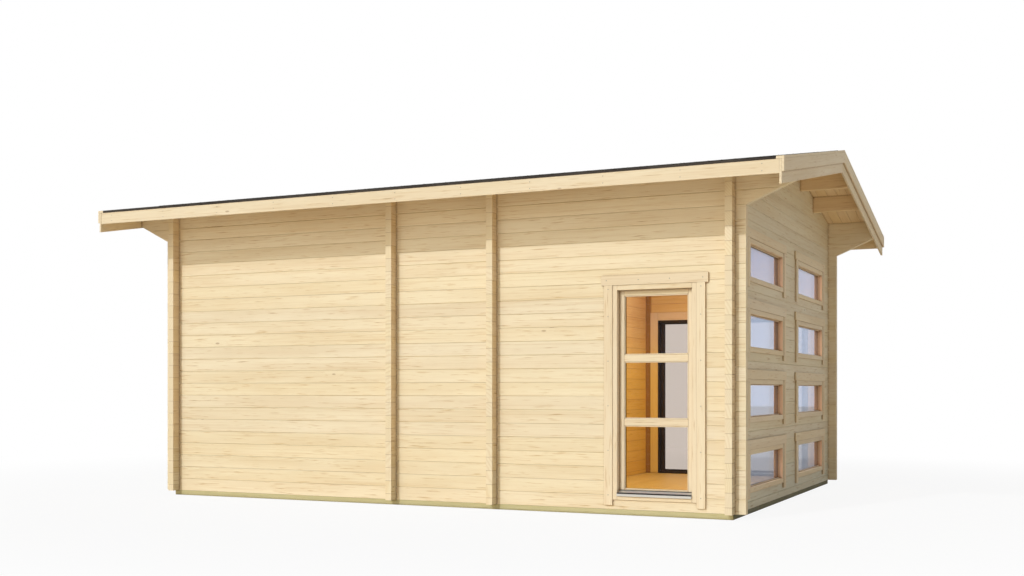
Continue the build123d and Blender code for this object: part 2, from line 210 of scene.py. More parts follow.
class Grain:
    """A point's place in its own board or log, along and across the grain, moved by a start of its own."""

    def __init__(self, tree, place, run, island):
        self.tree = tree
        self.start = joined(tree, *[calc(tree, "MULTIPLY", island, step) for step in (37.1, 19.7, 53.3)])
        own = vector(tree, "ADD", place, self.start)
        self.along = scaled(tree, run, vector(tree, "DOT_PRODUCT", own, run))
        self.across = vector(tree, "SUBTRACT", own, self.along)

    def figure(self, length, width):
        """Place for a pattern that repeats so many times a metre along and across the grain."""
        stretched = scaled(self.tree, self.along, length), scaled(self.tree, self.across, width)
        return vector(self.tree, "ADD", *stretched)

    def heart(self):
        """Distance from the heart of the tree, for growth rings."""
        off_start = scaled(self.tree, self.start, 0.998)
        return vector(self.tree, "LENGTH", vector(self.tree, "SUBTRACT", self.across, off_start))


def planed_face(tree, grain, palette, streaks):
    """Colour of a planed face, and the broad, growth and fibre patterns in it."""
    pale, deep, knot = palette
    cells = put(tree, "ShaderNodeTexVoronoi", {"Vector": grain.figure(1.7, 4.6), "Scale": 1.0})
    branch = cells.outputs["Distance"]
    knots = remap(tree, branch, 0.052, 0.026)
    swirl = remap(tree, branch, 0.3, 0.04, 0.0, 0.9)
    bent = vector(tree, "ADD", grain.figure(0.7, 64.0), joined(tree, swirl, swirl, swirl))
    broad = noise(tree, grain.figure(0.7, 8.0), 1.0, 3.0, 0.3)
    growth = noise(tree, bent, 1.0, 3.0, 0.5)
    fibre = noise(tree, grain.figure(6.0, 420.0), 1.0, 2.0)
    dash = noise(tree, grain.figure(5.0, 92.0), 1.0, 2.0)
    tone = mixed(tree, remap(tree, broad, 0.32, 0.72, 0.0, 0.24), pale, deep)
    tone = mixed(tree, remap(tree, growth, 0.5, 0.76, 0.0, 0.3 * streaks), tone, deep)
    tone = mixed(tree, remap(tree, fibre, 0.45, 0.75, 0.0, 0.14), tone, deep)
    tone = mixed(tree, remap(tree, dash, 0.58, 0.72, 0.0, 0.52 * streaks), tone, deep)
    tone = mixed(tree, remap(tree, dash, 0.7, 0.78, 0.0, 0.5 * streaks), tone, knot)
    tone = mixed(tree, calc(tree, "MULTIPLY", knots, 0.5), tone, knot)
    return tone, broad, growth, fibre


def sawn_end(tree, grain, broad, colours):
    even, wavy = calc(tree, "MULTIPLY", grain.heart(), 1300.0), calc(tree, "MULTIPLY", broad, 9.0)
    rings = calc(tree, "SINE", calc(tree, "ADD", even, wavy))
    return mixed(tree, remap(tree, rings, -0.4, 1.0, 0.12, 0.28), *colours)


def varied(tree, tone, island):
    """Each board differs a little in hue, saturation and value."""
    second = calc(tree, "FRACT", calc(tree, "MULTIPLY", island, 17.13))
    return put(tree, "ShaderNodeHueSaturation", {
        "Color": tone,
        "Hue": remap(tree, second, 0.0, 1.0, 0.498, 0.501),
        "Saturation": remap(tree, second, 0.0, 1.0, 0.95, 1.05),
        "Value": remap(tree, island, 0.0, 1.0, 0.975, 1.015),
    }).outputs[0]


def indoor_share(tree, place):
    away = split(tree, vector(tree, "ABSOLUTE", vector(tree, "ADD", place, (-INNER_MIDDLE, 0, 0))))
    inside_x = remap(tree, away["X"], INNER_HALF + SKIN, INNER_HALF)
    inside_y = remap(tree, away["Y"], WALL_INNER + SKIN, WALL_INNER)
    return calc(tree, "MULTIPLY", inside_x, inside_y)


def off_joint(tree, height, joint):
    """Distance from the nearest joint between logs, as a share of a course."""
    courses = calc(tree, "DIVIDE", calc(tree, "SUBTRACT", height, joint - LOG_COURSE / 2), LOG_COURSE)
    return calc(tree, "ABSOLUTE", calc(tree, "SUBTRACT", calc(tree, "FRACT", courses), 0.5))


def timber(
    name, palette, run=None, rough=0.62, streaks=1.0, painted_indoor_light=PAINTED_WARM_INDOOR_LIGHT, joint=None, ends=None,
    gable=False, corners=False, reveal=None, dark=0.7,
):
    """Planed softwood, tinted honey brown indoors as painted warm light. Grain follows run, or each board's
    own direction.

    joint is the height of a log joint, ends the colours of sawn ends, reveal the colour of painted warm
    light on faces along Y.
    gable wood gets painted warm bounce light, and lines at its joints, where it passes the side walls, and
    painted shade that makes it greyer near the ground.
    corners makes the corners of the last room darker with painted shade, and dark is the share of painted
    shade in crevices.
    """
    material, tree = fresh(name)
    knot = palette[2]
    place = here(tree)
    geometry = put(tree, "ShaderNodeNewGeometry").outputs
    normal, island = geometry["True Normal"], geometry["Random Per Island"]
    if run is None:
        run = put(tree, "ShaderNodeAttribute", attribute_name="grain").outputs["Vector"]
    else:
        run = tuple(run)
    grain = Grain(tree, place, run, island)
    tone, broad, growth, fibre = planed_face(tree, grain, palette, streaks)
    facing = calc(tree, "ABSOLUTE", vector(tree, "DOT_PRODUCT", normal, run))
    away = split(tree, vector(tree, "ABSOLUTE", place))
    height = away["Z"]
    # Painted warm bounce light on the crossing logs where they pass the side walls
    if gable:
        passing = remap(tree, away["Y"], *WALL_END_FADE)
        tone = tinted(tree, passing, tone, PAINTED_BOUNCE_ON_LOG_ENDS)
    sawn = sawn_end(tree, grain, broad, ends or palette[:2])
    tone = mixed(tree, remap(tree, facing, 0.75, 0.9), tone, sawn)
    # Painted warm light on faces along Y, used for the small window frames
    if reveal:
        sideways = calc(tree, "ABSOLUTE", vector(tree, "DOT_PRODUCT", normal, tuple(Y)))
        tone = mixed(tree, remap(tree, sideways, 0.75, 0.9, 0.0, 0.75), tone, reveal)
    tone = varied(tree, tone, island)
    # Painted warm light indoors: the wood inside the house is tinted honey brown
    indoors = indoor_share(tree, place)
    tone = tinted(tree, indoors, tone, painted_indoor_light)
    # Painted reflection of the sky in the window: indoor wood turns less orange towards the ceiling
    reflection_share = calc(tree, "MULTIPLY", indoors, remap(tree, height, *CEILING_REFLECTION_FADE))
    tone = tinted(tree, reflection_share, tone, PAINTED_REFLECTION_NEAR_CEILING)
    # Painted shade: outdoor gable faces turn greyer towards the ground
    if gable:
        outdoors = calc(tree, "SUBTRACT", 1.0, calc(tree, "MAXIMUM", indoors, facing))
        low = remap(tree, height, *GROUND_SHADE_FADE, 0.25, 1.0)
        tone = tinted(tree, calc(tree, "MULTIPLY", outdoors, low), tone, PAINTED_SHADE_NEAR_GROUND)
    # Painted shade in crevices: ambient occlusion darkens the wood toward its knot colour
    occlusion = put(tree, "ShaderNodeAmbientOcclusion", {"Distance": CREVICE_SHADE_REACH}, samples=6).outputs["AO"]
    crevice_shade = remap(tree, occlusion, 0.85, 0.45, 0.0, dark)
    if joint is not None:
        off = off_joint(tree, height, joint)
        line = remap(tree, off, 0.03, 0.01, 0.0, 0.5)
        lined = indoors
        if gable:
            lined = calc(tree, "MAXIMUM", indoors, calc(tree, "MULTIPLY", passing, 0.7))
        tone = mixed(tree, calc(tree, "MULTIPLY", line, lined), tone, knot)
        crevice_shade = calc(tree, "MULTIPLY", crevice_shade, remap(tree, off, 0.04, 0.07))
    tone = mixed(tree, crevice_shade, tone, knot)
    # Painted shade in the corners of the last room
    if corners:
        aside = calc(tree, "ABSOLUTE", calc(tree, "SUBTRACT", split(tree, place)["X"], LAST_ROOM_MIDDLE))
        shade = remap(tree, aside, *CORNER_SHADE_FADE, 0.0, 0.85)
        tone = mixed(tree, calc(tree, "MULTIPLY", shade, indoors), tone, knot)
    relief = calc(tree, "ADD", calc(tree, "MULTIPLY", growth, 0.6), calc(tree, "MULTIPLY", fibre, 0.4))
    bump = bumped(tree, relief, 0.35, 0.0012)
    upright = vector(tree, "MULTIPLY", geometry["Normal"], (1.0, 1.0, 0.6))
    tree.links.new(vector(tree, "NORMALIZE", upright), bump.inputs["Normal"])
    surface(tree, {
        "Base Color": tone,
        "Roughness": remap(tree, fibre, 0.2, 0.8, rough - 0.1, rough + 0.1),
        "Specular IOR Level": 0.3,
        "Normal": bump.outputs[0],
    })
    return material


side_log = timber("spruce_side_log", SPRUCE, run=X, joint=SIDE_JOINT, corners=True, dark=0.55)
cross_log = timber(
    "spruce_cross_log", SPRUCE, run=Y, painted_indoor_light=PAINTED_BRIGHT_INDOOR_LIGHT, joint=CROSS_JOINT, gable=True, dark=0.25,
)
trim = timber("spruce_trim", TRIM, streaks=0.8, painted_indoor_light=PAINTED_SOFT_INDOOR_LIGHT)
# The small frames' faces along Y get painted warm light
trim_small = timber("spruce_small_frames", TRIM, streaks=0.8, painted_indoor_light=PAINTED_SOFT_INDOOR_LIGHT, reveal=PAINTED_WARM_REVEAL_LIGHT)
trim_long = timber("spruce_trim_long", TRIM, run=X, streaks=0.8)
trim_back = timber("spruce_trim_back_slope", TRIM, run=BACK_RUN, streaks=0.8)
trim_front = timber("spruce_trim_front_slope", TRIM, run=FRONT_RUN, streaks=0.8)
roof_wood = timber("spruce_roof_boards", ROOF, streaks=0.5)
purlin_wood = timber("spruce_purlin", ROOF, run=X)
floor_wood = timber("spruce_floor", BOARDS, rough=0.5, painted_indoor_light=PAINTED_FLOOR_INDOOR_LIGHT)
# The long bearers' sawn ends and the whole cross bearers are darkened by painted shade
bearer_long = timber("treated_long_bearer", TREATED, run=X, rough=0.75, ends=PAINTED_SHADE_TREATED[:2])
bearer_cross = timber("treated_cross_bearer_painted_shade", PAINTED_SHADE_TREATED, run=Y, rough=0.75)


# Felt, metal, rubber and glass
def roofing():
    material, tree = fresh("mineral_felt")
    grit = noise(tree, here(tree), 520.0, 3.0)
    cloud = noise(tree, here(tree), 2.6, 4.0, 0.4)
    tone = mixed(tree, remap(tree, cloud, 0.3, 0.7), colour(56, 51, 48), colour(73, 68, 63))
    surface(tree, {
        "Base Color": mixed(tree, remap(tree, grit, 0.55, 0.72, 0.0, 0.6), tone, colour(112, 107, 102)),
        "Roughness": remap(tree, grit, 0.3, 0.7, 0.95, 0.78),
        "Specular IOR Level": 0.25,
        "Normal": bumped(tree, grit, 0.6, 0.0015).outputs[0],
    })
    return material


def powder_coat():
    material, tree = fresh("dark_powder_coat")
    peel = noise(tree, here(tree), 700.0, 2.0)
    cloud = noise(tree, here(tree), 5.0, 3.0)
    surface(tree, {
        "Base Color": mixed(tree, remap(tree, cloud, 0.35, 0.7), colour(38, 36, 38), colour(52, 49, 50)),
        "Roughness": remap(tree, cloud, 0.3, 0.7, 0.38, 0.5),
        "Normal": bumped(tree, peel, 0.2, 0.0004).outputs[0],
    })
    return material


def sheet_metal(name, stretch, dull, bright):
    material, tree = fresh(name)
    lines = noise(tree, vector(tree, "MULTIPLY", here(tree), stretch), 1.0, 3.0)
    cloud = noise(tree, here(tree), 9.0, 3.0)
    surface(tree, {
        "Base Color": mixed(tree, remap(tree, lines, 0.3, 0.7), dull, bright),
        "Metallic": 0.6,
        "Roughness": remap(tree, cloud, 0.3, 0.7, 0.28, 0.44),
        "Normal": bumped(tree, lines, 0.12, 0.0004).outputs[0],
    })
    return material


def rubber():
    material, tree = fresh("glazing_rubber")
    cloud = noise(tree, here(tree), 60.0, 3.0)
    surface(tree, {
        "Base Color": mixed(tree, remap(tree, cloud, 0.3, 0.7), colour(34, 33, 34), colour(50, 48, 48)),
        "Roughness": remap(tree, cloud, 0.3, 0.7, 0.55, 0.7),
        "Normal": bumped(tree, cloud, 0.15, 0.0004).outputs[0],
    })
    return material


def clear_glass():
    """See-through from the front, more of a mirror at a slant."""
    material, tree = fresh("clear_glass")
    film = remap(tree, noise(tree, here(tree), 3.5, 3.0), 0.3, 0.7)
    through = put(tree, "ShaderNodeBsdfTransparent", {"Color": (0.88, 0.85, 0.825, 1.0)})
    shine = put(tree, "ShaderNodeBsdfPrincipled", {
        "Base Color": mixed(tree, film, colour(184, 206, 244), colour(188, 210, 248)),
        "Metallic": 1.0,
        "Roughness": calc(tree, "ADD", 0.01, calc(tree, "MULTIPLY", film, 0.03)),
    })
    slant = calc(tree, "POWER", put(tree, "ShaderNodeLayerWeight", {"Blend": 0.5}).outputs["Facing"], 2.0)
    mirror = calc(tree, "ADD", calc(tree, "MULTIPLY", slant, 0.8), 0.003)
    both = put(tree, "ShaderNodeMixShader", {0: mirror, 1: through.outputs[0], 2: shine.outputs[0]})
    put(tree, "ShaderNodeOutputMaterial", {"Surface": both.outputs[0]})
    return material


felt = roofing()
dark_metal = powder_coat()
sill_metal = sheet_metal("brushed_sill", (5.0, 420.0, 420.0), colour(208, 208, 206), colour(228, 228, 224))
zinc = sheet_metal("zinc_heads", (90.0, 90.0, 90.0), colour(150, 144, 134), colour(176, 170, 158))
gasket = rubber()
glass = clear_glass()


# Meshes
BOX_FACES = (0, 1, 3, 2), (4, 6, 7, 5), (0, 4, 5, 1), (2, 3, 7, 6), (0, 2, 6, 4), (1, 5, 7, 3)
HEAD_SIDES = 10
# Rings of a screw or nail head from its rim inward, as shares of its radius and height
HEAD_SHARES = (1.0, 0.0), (0.96, 0.6), (0.8, 1.0), (0.42, 0.8), (0.3, 0.25)


def block(low, high):
    return [(x, y, z) for x in (low[0], high[0]) for y in (low[1], high[1]) for z in (low[2], high[2])]


def sloping(xs, ys, rises):
    return [(x, y, underside(y) + rise) for x in xs for y in ys for rise in rises]


def spaced(start, end, count):
    return [start + (end - start) * n / (count - 1) for n in range(count)]


def ease(obj, width, angle=30):
    bevel = obj.modifiers.new("eased edges", "BEVEL")
    bevel.width, bevel.segments = width, 2
    bevel.limit_method, bevel.angle_limit = "ANGLE", math.radians(angle)
    level = obj.modifiers.new("flat faces", "WEIGHTED_NORMAL")
    level.keep_sharp = False


def place_piece(obj, material, body="house", instead_of=()):
    obj.data.materials.clear()
    obj.data.materials.append(material)
    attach(obj, body)
    if instead_of:
        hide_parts(*instead_of)


def new_mesh(name, verts, faces):
    mesh = bpy.data.meshes.new(name)
    mesh.from_pydata(verts, [], faces)
    shape = bmesh.new()
    shape.from_mesh(mesh)
    bmesh.ops.recalc_face_normals(shape, faces=shape.faces)
    shape.to_mesh(mesh)
    shape.free()
    mesh.polygons.foreach_set("use_smooth", [True] * len(mesh.polygons))
    obj = bpy.data.objects.new(name, mesh)
    bpy.context.scene.collection.objects.link(obj)
    return obj


def boards(name, items, material, instead_of=(), body="house", edge=0.002):
    """One piece of separate boards, each with its eight corners and the direction of its grain."""
    verts, faces, runs = [], [], []
    for corners, run in items:
        faces += [[len(verts) + i for i in face] for face in BOX_FACES]
        verts += corners
        runs += [tuple(run)] * len(corners)
    obj = new_mesh(name, verts, faces)
    grain = obj.data.attributes.new("grain", "FLOAT_VECTOR", "POINT")
    grain.data.foreach_set("vector", [value for run in runs for value in run])
    ease(obj, edge)
    place_piece(obj, material, body, instead_of)


def heads(name, places, radius, height):
    """Round screw or nail heads of zinc, each with a dished middle, at (point, outward direction)."""
    verts, faces = [], []
    for point, out in places:
        out = Vector(out).normalized()
        first = out.orthogonal().normalized()
        second = out.cross(first)
        base = len(verts)
        for share, rise in HEAD_SHARES:
            for n in range(HEAD_SIDES):
                turn = 2 * math.pi * n / HEAD_SIDES
                spoke = (first * math.cos(turn) + second * math.sin(turn)) * radius * share
                verts.append(Vector(point) + spoke + out * height * rise)
        last = base + (len(HEAD_SHARES) - 1) * HEAD_SIDES
        for ring in range(base, last, HEAD_SIDES):
            for n in range(HEAD_SIDES):
                a, b = ring + n, ring + (n + 1) % HEAD_SIDES
                faces.append((a, b, b + HEAD_SIDES, a + HEAD_SIDES))
        faces.append([last + n for n in range(HEAD_SIDES)])
        faces.append([base + n for n in reversed(range(HEAD_SIDES))])
    place_piece(new_mesh(name, verts, faces), zinc)


def dress(name, material, edge=0.0015, angle=30):
    """A CAD node keeps its shape and gets eased edges and its material."""
    obj = nodes[name]
    weld = obj.modifiers.new("joined corners", "WELD")
    weld.merge_threshold = 0.00002
    flat = obj.modifiers.new("whole faces", "DECIMATE")
    flat.decimate_type, flat.angle_limit = "DISSOLVE", math.radians(0.5)
    ease(obj, edge, angle)
    obj.data.materials.clear()
    obj.data.materials.append(material)


def spans_to_boards(plane, spans, depth):
    """Boards from (left, right, bottom, top, run), in a wall that faces along plane, over its depth."""
    near, far = depth
    items = []
    for left, right, bottom, top, run in spans:
        low = (left, near, bottom) if plane == "Y" else (near, left, bottom)
        high = (right, far, top) if plane == "Y" else (far, right, top)
        items.append((block(low, high), run))
    return items


def level_run(plane):
    return X if plane == "Y" else Y


def ring_of_boards(plane, centre, size, face, depth):
    """Two uprights and two rails of a frame that faces along plane."""
    (u, v), (width, height) = centre, size
    left, right, low, high = u - width / 2, u + width / 2, v - height / 2, v + height / 2
    level = level_run(plane)
    spans = [
        (left, left + face, low, high, Z),
        (right - face, right, low, high, Z),
        (left + face, right - face, low, low + face, level),
        (left + face, right - face, high - face, high, level),
    ]
    return spans_to_boards(plane, spans, depth)


def bead_rings(plane, panes, depth, face):
    return [item for centre, size in panes for item in ring_of_boards(plane, centre, size, face, depth)]


# Log walls, purlins, bearers, roof edges, panes and metal keep their CAD shapes
for name in ("back_wall", "front_wall"):
    dress(name, side_log, edge=0.003, angle=50)
for name in CROSSING_WALLS:
    dress(name, cross_log, edge=0.003, angle=50)
dress("long_bearers", bearer_long, edge=0.003)
dress("cross_bearers", bearer_cross, edge=0.003)
dress("purlins", purlin_wood, edge=0.003)
for name in ("back_fascia", "front_fascia"):
    dress(name, trim_long, edge=0.002)
for part in ("boards", "trims", "caps"):
    dress("back_barge_" + part, trim_back, edge=0.002)
    dress("front_barge_" + part, trim_front, edge=0.002)
dress("ridge_felt", felt, edge=0.001)
dress("tall_window_sill", sill_metal)
for name in ("tall_window_glass", "small_window_panes", "fixed_panel_glass", "sliding_panel_glass"):
    dress(name, glass, edge=0.0008)
for name in ("door_frame", "fixed_panel_frame", "sliding_panel_frame", "sliding_panel_handle"):
    dress(name, dark_metal)
dress("door_threshold", trim_long, edge=0.003)

# Floor boards of the three rooms, laid across the long bearers
PLANK_WIDTH = 0.092
PLANK_JOINT = 0.001


def floor_planks():
    low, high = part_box("floor_boards")
    gap = low[0] - INNER_LEFT
    items = []
    for start, end in ROOMS:
        count = round((end - start - gap * 2) / PLANK_WIDTH)
        edges = spaced(start + gap, end - gap, count + 1)
        for left, right in zip(edges, edges[1:]):
            left, right = left + PLANK_JOINT / 2, right - PLANK_JOINT / 2
            items.append((block((left, low[1], low[2]), (right, high[1], high[2])), Y))
    boards("floor_planks", items, floor_wood, ("floor_boards",), edge=0.0015)


floor_planks()

# Matched roof boards from the ridge to the eaves, bevelled where they meet
ROOF_PLANKS = 66
ROOF_PLANK_JOINT = 0.0006


def roof_planks(side, name, run):
    edges = spaced(-ROOF_END, ROOF_END, ROOF_PLANKS + 1)
    ys = sorted((0.0, side * EAVE_Y))
    items = []
    for left, right in zip(edges, edges[1:]):
        xs = left + ROOF_PLANK_JOINT / 2, right - ROOF_PLANK_JOINT / 2
        items.append((sloping(xs, ys, (0, BOARD_RISE)), run))
    boards(name + "_roof_planks", items, roof_wood, (name + "_roof_boards",), edge=0.003)


roof_planks(-1, "back", BACK_RUN)
roof_planks(1, "front", FRONT_RUN)

# Felt in three lapped lengths up each slope, the lowest turned down over the eave
FELT_COLUMNS, FELT_ROWS = 96, 14
FELT_LIFT = 0.0002
FELT_DROP = 0.020
LAP_LENGTH, LAP_RISE = 0.16, 0.0034
WAVE_RISE, WAVE_MARGIN = 0.0004, 0.1
# Lower and upper edge of each length, as distances from the ridge
FELT_LENGTHS = (FELT_EDGE, 1.70), (1.78, 0.86), (0.94, 0.0)


def felt_rise(x, y, number):
    """Height of the felt over the roof boards: it waves a little and climbs over the length below it."""
    lap = max(0.0, 1 - (FELT_LENGTHS[number][0] - y) / LAP_LENGTH) if number else 0.0
    wave = math.sin(x * 3.1 + number * 2.0) * math.sin(y * 5.3 + x * 0.7)
    free = min(1.0, min(y, FELT_EDGE - y) / WAVE_MARGIN) * min(1.0, (ROOF_END - abs(x)) / WAVE_MARGIN)
    return FELT_LIFT + lap * LAP_RISE + WAVE_RISE * (1 + wave) * free


def sheet_faces(base):
    """Faces of a closed sheet of two layers, each of FELT_ROWS by FELT_COLUMNS."""
    wide = FELT_COLUMNS + 1
    layer_size = (FELT_ROWS + 1) * wide

    def at(layer, row, column):
        return base + layer * layer_size + row * wide + column

    faces = []
    for row in range(FELT_ROWS):
        for column in range(FELT_COLUMNS):
            for layer in (0, 1):
                along = at(layer, row, column), at(layer, row, column + 1)
                faces.append((*along, at(layer, row + 1, column + 1), at(layer, row + 1, column)))
        for column in (0, FELT_COLUMNS):
            edge = at(0, row, column), at(1, row, column)
            faces.append((*edge, at(1, row + 1, column), at(0, row + 1, column)))
    for row in (0, FELT_ROWS):
        for column in range(FELT_COLUMNS):
            edge = at(0, row, column), at(0, row, column + 1)
            faces.append((*edge, at(1, row, column + 1), at(1, row, column)))
    return faces


def felt_lengths(side, name):
    verts, faces = [], []
    for number, (low, high) in enumerate(FELT_LENGTHS):
        faces += sheet_faces(len(verts))
        for thickness in (0.0, FELT_RISE - FELT_LIFT):
            for y in spaced(low, high, FELT_ROWS + 1):
                for x in spaced(-ROOF_END, ROOF_END, FELT_COLUMNS + 1):
                    rise = BOARD_RISE + felt_rise(x, y, number) + thickness
                    verts.append((x, side * y, underside(y) + rise))
        if number == 0:
            faces += [[len(verts) + i for i in face] for face in BOX_FACES]
            boards_top = underside(FELT_EDGE) + BOARD_RISE
            for y in (EAVE_Y + FELT_LIFT, FELT_EDGE):
                for z in (boards_top + FELT_RISE - FELT_DROP, boards_top):
                    verts += [(x, side * y, z) for x in (-ROOF_END, ROOF_END)]
    obj = new_mesh(name + "_felt_lengths", verts, faces)
    obj.modifiers.new("flat faces", "WEIGHTED_NORMAL")
    place_piece(obj, felt, instead_of=(name + "_roof_felt",))


felt_lengths(-1, "back")
felt_lengths(1, "front")

# Felt nails in rows, as the distance from the ridge and the height over the roof boards
FELT_NAILS = 56
FELT_NAIL_END = 3.11
FELT_NAIL_ROWS = (1.755, 0.0072), (0.915, 0.0072), (0.135, 0.0062)


def felt_nails():
    places = []
    for side in (-1, 1):
        out = 0, side * math.sin(PITCH), math.cos(PITCH)
        for y, rise in FELT_NAIL_ROWS:
            for x in spaced(-FELT_NAIL_END, FELT_NAIL_END, FELT_NAILS):
                places.append(((x, side * y, underside(y) + BOARD_RISE + rise), out))
    heads("felt_nails", places, radius=0.005, height=0.0014)


felt_nails()

# Casings: a head board that is longer than the opening, and two side boards
CASING_SIDE = 0.070
CASING_HEAD = 0.078
CASING_HEAD_REACH = 0.094
CASING_FOOT = 0.045


def casing(plane, centres, size, depth):
    width, height = size
    spans = []
    for u, v in centres:
        left, right, low, high = u - width / 2, u + width / 2, v - height / 2, v + height / 2
        head = left - CASING_HEAD_REACH, right + CASING_HEAD_REACH, high, high + CASING_HEAD
        spans.append((*head, level_run(plane)))
        spans.append((left - CASING_SIDE, left, low - CASING_FOOT, high, Z))
        spans.append((right, right + CASING_SIDE, low - CASING_FOOT, high, Z))
    return spans_to_boards(plane, spans, depth)


# Tall window: frame, sash with two bars, beads round the panes, casing, and dark strips of painted shadow at
# the sill
BAR_LEVELS = 0.748, 1.263
BAR_HEIGHT = 0.054
BEAD_FACE = 0.009
BEAD_SETBACK = 0.004
SHADOW_STRIP_SETBACK = 0.002
SHADOW_STRIP_SUNK = 0.0005
NOSE_HEIGHT = 0.020
NOSE_SHADOW_HEIGHT, NOSE_SHADOW_PROUD = 0.011, 0.0008
SASH_SHADOW_HEIGHT, SASH_SHADOW_PROUD = 0.005, 0.0025

window_x, _, window_z = middle_of("tall_window_frame")
window_centre = window_x, window_z
window_width, _, window_height = extent_of("tall_window_frame")
frame_y, sash_y, pane_y = [reach_of("tall_window_" + part, 1) for part in ("frame", "sash", "glass")]
frame_face = reach_of("tall_window_sash", 0)[0] - reach_of("tall_window_frame", 0)[0]
window_head = reach_of("tall_window_frame", 2)[1]


def tall_window():
    items = ring_of_boards("Y", window_centre, (window_width, window_height), frame_face, frame_y)
    boards("tall_window_frame_boards", items, trim, ("tall_window_frame",))
    sash_width, _, sash_height = extent_of("tall_window_sash")
    pane_x = reach_of("tall_window_glass", 0)
    sash_face = pane_x[0] - reach_of("tall_window_sash", 0)[0]
    items = ring_of_boards("Y", window_centre, (sash_width, sash_height), sash_face, sash_y)
    boards("tall_window_sash_boards", items, trim, ("tall_window_sash",), edge=0.003)
    bars = [(*pane_x, z - BAR_HEIGHT / 2, z + BAR_HEIGHT / 2, X) for z in BAR_LEVELS]
    items = []
    for bar in bars:
        items += spans_to_boards("Y", [bar], (sash_y[0], pane_y[0]))
        items += spans_to_boards("Y", [bar], (pane_y[1], sash_y[1]))
    boards("tall_window_bars", items, trim, edge=0.004)
    glass_low, glass_high = reach_of("tall_window_glass", 2)
    bottoms = glass_low, *[z + BAR_HEIGHT / 2 for z in BAR_LEVELS]
    tops = *[z - BAR_HEIGHT / 2 for z in BAR_LEVELS], glass_high
    pane_width = pane_x[1] - pane_x[0]
    panes = [((window_x, (low + high) / 2), (pane_width, high - low)) for low, high in zip(bottoms, tops)]
    items = bead_rings("Y", panes, (sash_y[0] + BEAD_SETBACK, pane_y[0]), BEAD_FACE)
    items += bead_rings("Y", panes, (pane_y[1], sash_y[1] - BEAD_SETBACK), BEAD_FACE)
    boards("tall_window_beads", items, trim, edge=0.003)
    items = casing("Y", [window_centre], (window_width, window_height), reach_of("tall_window_casing", 1))
    boards("tall_window_casing_boards", items, trim, ("tall_window_casing",))


# Painted shadow: a dark rubber strip across the sill's nose and another at the foot of the sash
def sill_shadow_strips():
    (left, nose, foot), (right, _, top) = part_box("tall_window_sill")
    left, right = left + SHADOW_STRIP_SETBACK, right - SHADOW_STRIP_SETBACK
    on_nose = foot + NOSE_HEIGHT - SHADOW_STRIP_SUNK
    on_sill = top - SHADOW_STRIP_SUNK
    nose_shadow = left, right, on_nose, on_nose + NOSE_SHADOW_HEIGHT, X
    sash_shadow = left, right, on_sill, on_sill + SASH_SHADOW_HEIGHT, X
    items = spans_to_boards("Y", [nose_shadow], (nose - NOSE_SHADOW_PROUD, frame_y[0]))
    items += spans_to_boards("Y", [sash_shadow], (sash_y[0] - SASH_SHADOW_PROUD, sash_y[0]))
    boards("tall_window_painted_shadow_strips", items, gasket, edge=0.001)


tall_window()
sill_shadow_strips()

# Small windows in the gable: frames, beads and casings
SMALL_WIDTH, SMALL_HEIGHT = 1.274, 0.351
SMALL_ROWS = 4

small_reach, small_drop = reach_of("small_window_frames", 1)[1], reach_of("small_window_frames", 2)
small_levels = spaced(small_drop[0] + SMALL_HEIGHT / 2, small_drop[1] - SMALL_HEIGHT / 2, SMALL_ROWS)
small_centres = [(side * (small_reach - SMALL_WIDTH / 2), z) for side in (-1, 1) for z in small_levels]
casing_x = reach_of("small_window_casings", 0)


def small_windows():
    size = SMALL_WIDTH, SMALL_HEIGHT
    pane = SMALL_WIDTH - frame_face * 2, SMALL_HEIGHT - frame_face * 2
    pane_x = reach_of("small_window_panes", 0)
    frames = [(centre, size) for centre in small_centres]
    items = bead_rings("X", frames, reach_of("small_window_frames", 0), frame_face)
    boards("small_window_frame_boards", items, trim_small, ("small_window_frames",))
    panes = [(centre, pane) for centre in small_centres]
    items = bead_rings("X", panes, (pane_x[1], pane_x[1] + BEAD_FACE), BEAD_FACE)
    items += bead_rings("X", panes, (pane_x[0] - BEAD_FACE, pane_x[0]), BEAD_FACE)
    boards("small_window_beads", items, trim_small, edge=0.003)
    items = casing("X", small_centres, size, casing_x)
    boards("small_window_casing_boards", items, trim, ("small_window_casings",))


small_windows()

# Door: lining, casings, and rubber round its panes
GASKET_THICKNESS = 0.0025
GASKET_FACE = 0.003

door_x = middle_of("door_frame")[0]
door_left, door_right = reach_of("door_frame", 0)
door_casing_face = door_left - reach_of("door_outer_casing", 0)[0]


def door_surround(node, name):
    low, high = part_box(node)
    face = door_left - low[0]
    spans = [
        (low[0], door_left, low[2], high[2], Z),
        (door_right, high[0], low[2], high[2], Z),
        (door_left, door_right, high[2] - face, high[2], X),
    ]
    boards(name, spans_to_boards("Y", spans, (low[1], high[1])), trim, (node,))


def pane_gaskets(node, name, body):
    middle, size = middle_of(node), extent_of(node)
    panes = [((middle[0], middle[2]), (size[0], size[2]))]
    near, far = reach_of(node, 1)
    items = bead_rings("Y", panes, (near - GASKET_THICKNESS, near), GASKET_FACE)
    items += bead_rings("Y", panes, (far, far + GASKET_THICKNESS), GASKET_FACE)
    boards(name, items, gasket, body=body, edge=0.001)


door_surround("door_jamb_lining", "door_lining_boards")
door_surround("door_inner_casing", "door_inner_casing_boards")
door_surround("door_outer_casing", "door_outer_casing_boards")
pane_gaskets("fixed_panel_glass", "fixed_panel_gaskets", "house")
pane_gaskets("sliding_panel_glass", "sliding_panel_gaskets", "sliding_panel")

